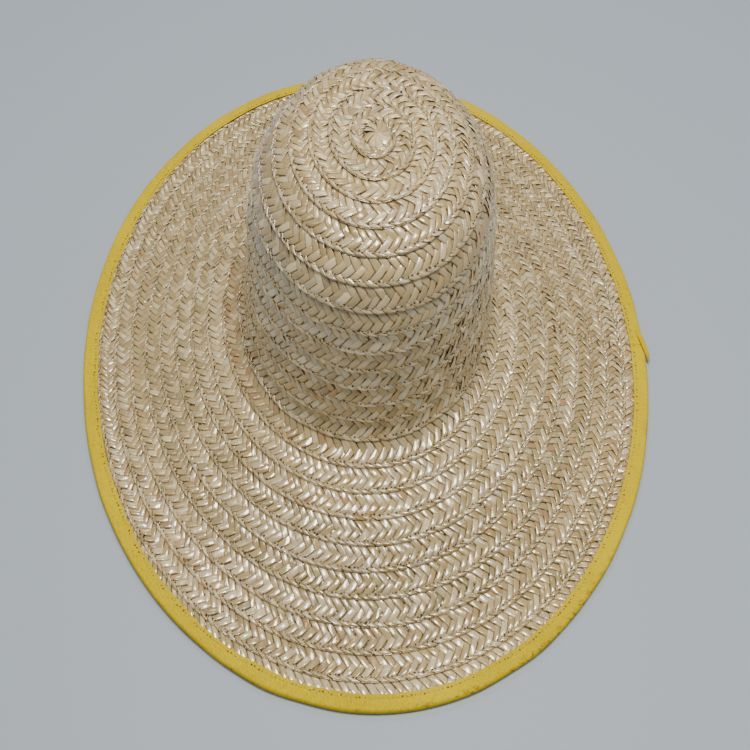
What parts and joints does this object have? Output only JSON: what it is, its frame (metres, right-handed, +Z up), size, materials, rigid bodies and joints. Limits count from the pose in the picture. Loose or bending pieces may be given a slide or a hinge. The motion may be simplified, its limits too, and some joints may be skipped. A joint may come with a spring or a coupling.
{
  "type": "straw sun hat",
  "caption": "Broad-brimmed straw sun hat with a tall round-topped crown, made of a plait sewn in a spiral and bound with yellow cotton tape.",
  "frame": {"origin": "centre of the hat's outline on the surface that its brim rests on", "axes": "+Z up through the crown, -Y towards the front of the hat, +X towards the wearer's left, where the binding is joined"},
  "size_m": [0.3675, 0.5, 0.1805],
  "materials": {
    "wheat_straw": "plaited natural wheat straw, glossy on each straw's face",
    "yellow_tape": "matt woven cotton bias tape",
    "yellow_thread": "twisted sewing thread with a slight sheen"
  },
  "bodies": {
    "root": {"plait_start": "wheat_straw", "crown_turn_01": "wheat_straw", "crown_turn_02": "wheat_straw", "crown_turn_03": "wheat_straw", "crown_turn_04": "wheat_straw", "crown_turn_05": "wheat_straw", "crown_turn_06": "wheat_straw", "crown_turn_07": "wheat_straw", "crown_turn_08": "wheat_straw", "crown_turn_09": "wheat_straw", "crown_turn_10": "wheat_straw", "crown_turn_11": "wheat_straw", "crown_turn_12": "wheat_straw", "crown_turn_13": "wheat_straw", "crown_turn_14": "wheat_straw", "brim_turn_01": "wheat_straw", "brim_turn_02": "wheat_straw", "brim_turn_03": "wheat_straw", "brim_turn_04": "wheat_straw", "brim_turn_05": "wheat_straw", "brim_turn_06": "wheat_straw", "brim_turn_07": "wheat_straw", "brim_turn_08": "wheat_straw", "brim_turn_09": "wheat_straw", "brim_turn_10": "wheat_straw", "edge_binding": "yellow_tape", "binding_fold": "yellow_tape", "binding_thread": "yellow_thread"}
  },
  "joints": []
}
